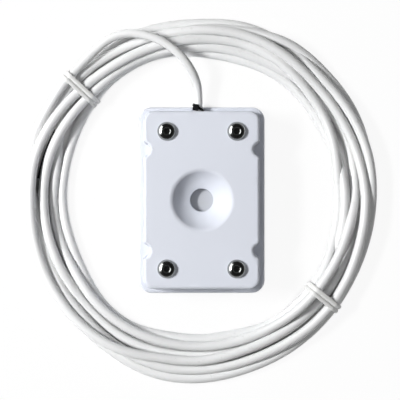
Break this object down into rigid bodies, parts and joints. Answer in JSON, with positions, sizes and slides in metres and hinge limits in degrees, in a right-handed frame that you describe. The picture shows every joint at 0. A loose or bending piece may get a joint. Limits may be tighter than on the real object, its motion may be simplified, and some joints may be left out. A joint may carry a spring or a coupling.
{
  "type": "water level sensor",
  "caption": "Flat rectangular surface water sensor: white flanged housing with domed contact screws and a central bowl, on a long thin white cable that is coiled and tied round it.",
  "frame": {"origin": "centre of the back plate's underside", "axes": "+Z out of the contact side, +Y towards the cable's outlet, +X to the right of it seen from above"},
  "size_m": [0.1439, 0.1458, 0.0192],
  "materials": {
    "housing_white": "satin moulded plastic",
    "screw_bright": "bright, domed",
    "seal_black": "soft rubber",
    "insert_brass": "turned brass",
    "board_green": "coated glass-fibre board",
    "resistor_tan": "lacquer",
    "tinned_wire": "tinned",
    "cable_white": "satin flexible jacket",
    "core_red": "satin insulation",
    "core_black": "satin insulation",
    "tie_white": "satin nylon",
    "tie_black": "satin nylon"
  },
  "bodies": {
    "root": {"back_plate": "housing_white", "cable_coil": "cable_white", "cable_in_housing": "cable_white", "cable_lead": "cable_white", "circuit_board": "board_green", "coil_tie_lower_right": "tie_white", "coil_tie_upper_left": "tie_white", "contact_cover": "housing_white", "contact_screw_1": "screw_bright", "contact_screw_2": "screw_bright", "contact_screw_3": "screw_bright", "contact_screw_4": "screw_bright", "end_conductors": "tinned_wire", "end_core_black": "core_black", "end_core_red": "core_red", "exit_cable_tie": "tie_black", "inner_cable_tie": "tie_white", "inner_conductors": "tinned_wire", "inner_core_black": "core_black", "inner_core_red": "core_red", "perimeter_gasket": "seal_black", "resistor_body": "resistor_tan", "resistor_leads": "tinned_wire", "screw_seal_1": "seal_black", "screw_seal_2": "seal_black", "screw_seal_3": "seal_black", "screw_seal_4": "seal_black", "solder_joints": "tinned_wire", "threaded_insert_1": "insert_brass", "threaded_insert_2": "insert_brass", "threaded_insert_3": "insert_brass", "threaded_insert_4": "insert_brass"}
  },
  "joints": []
}
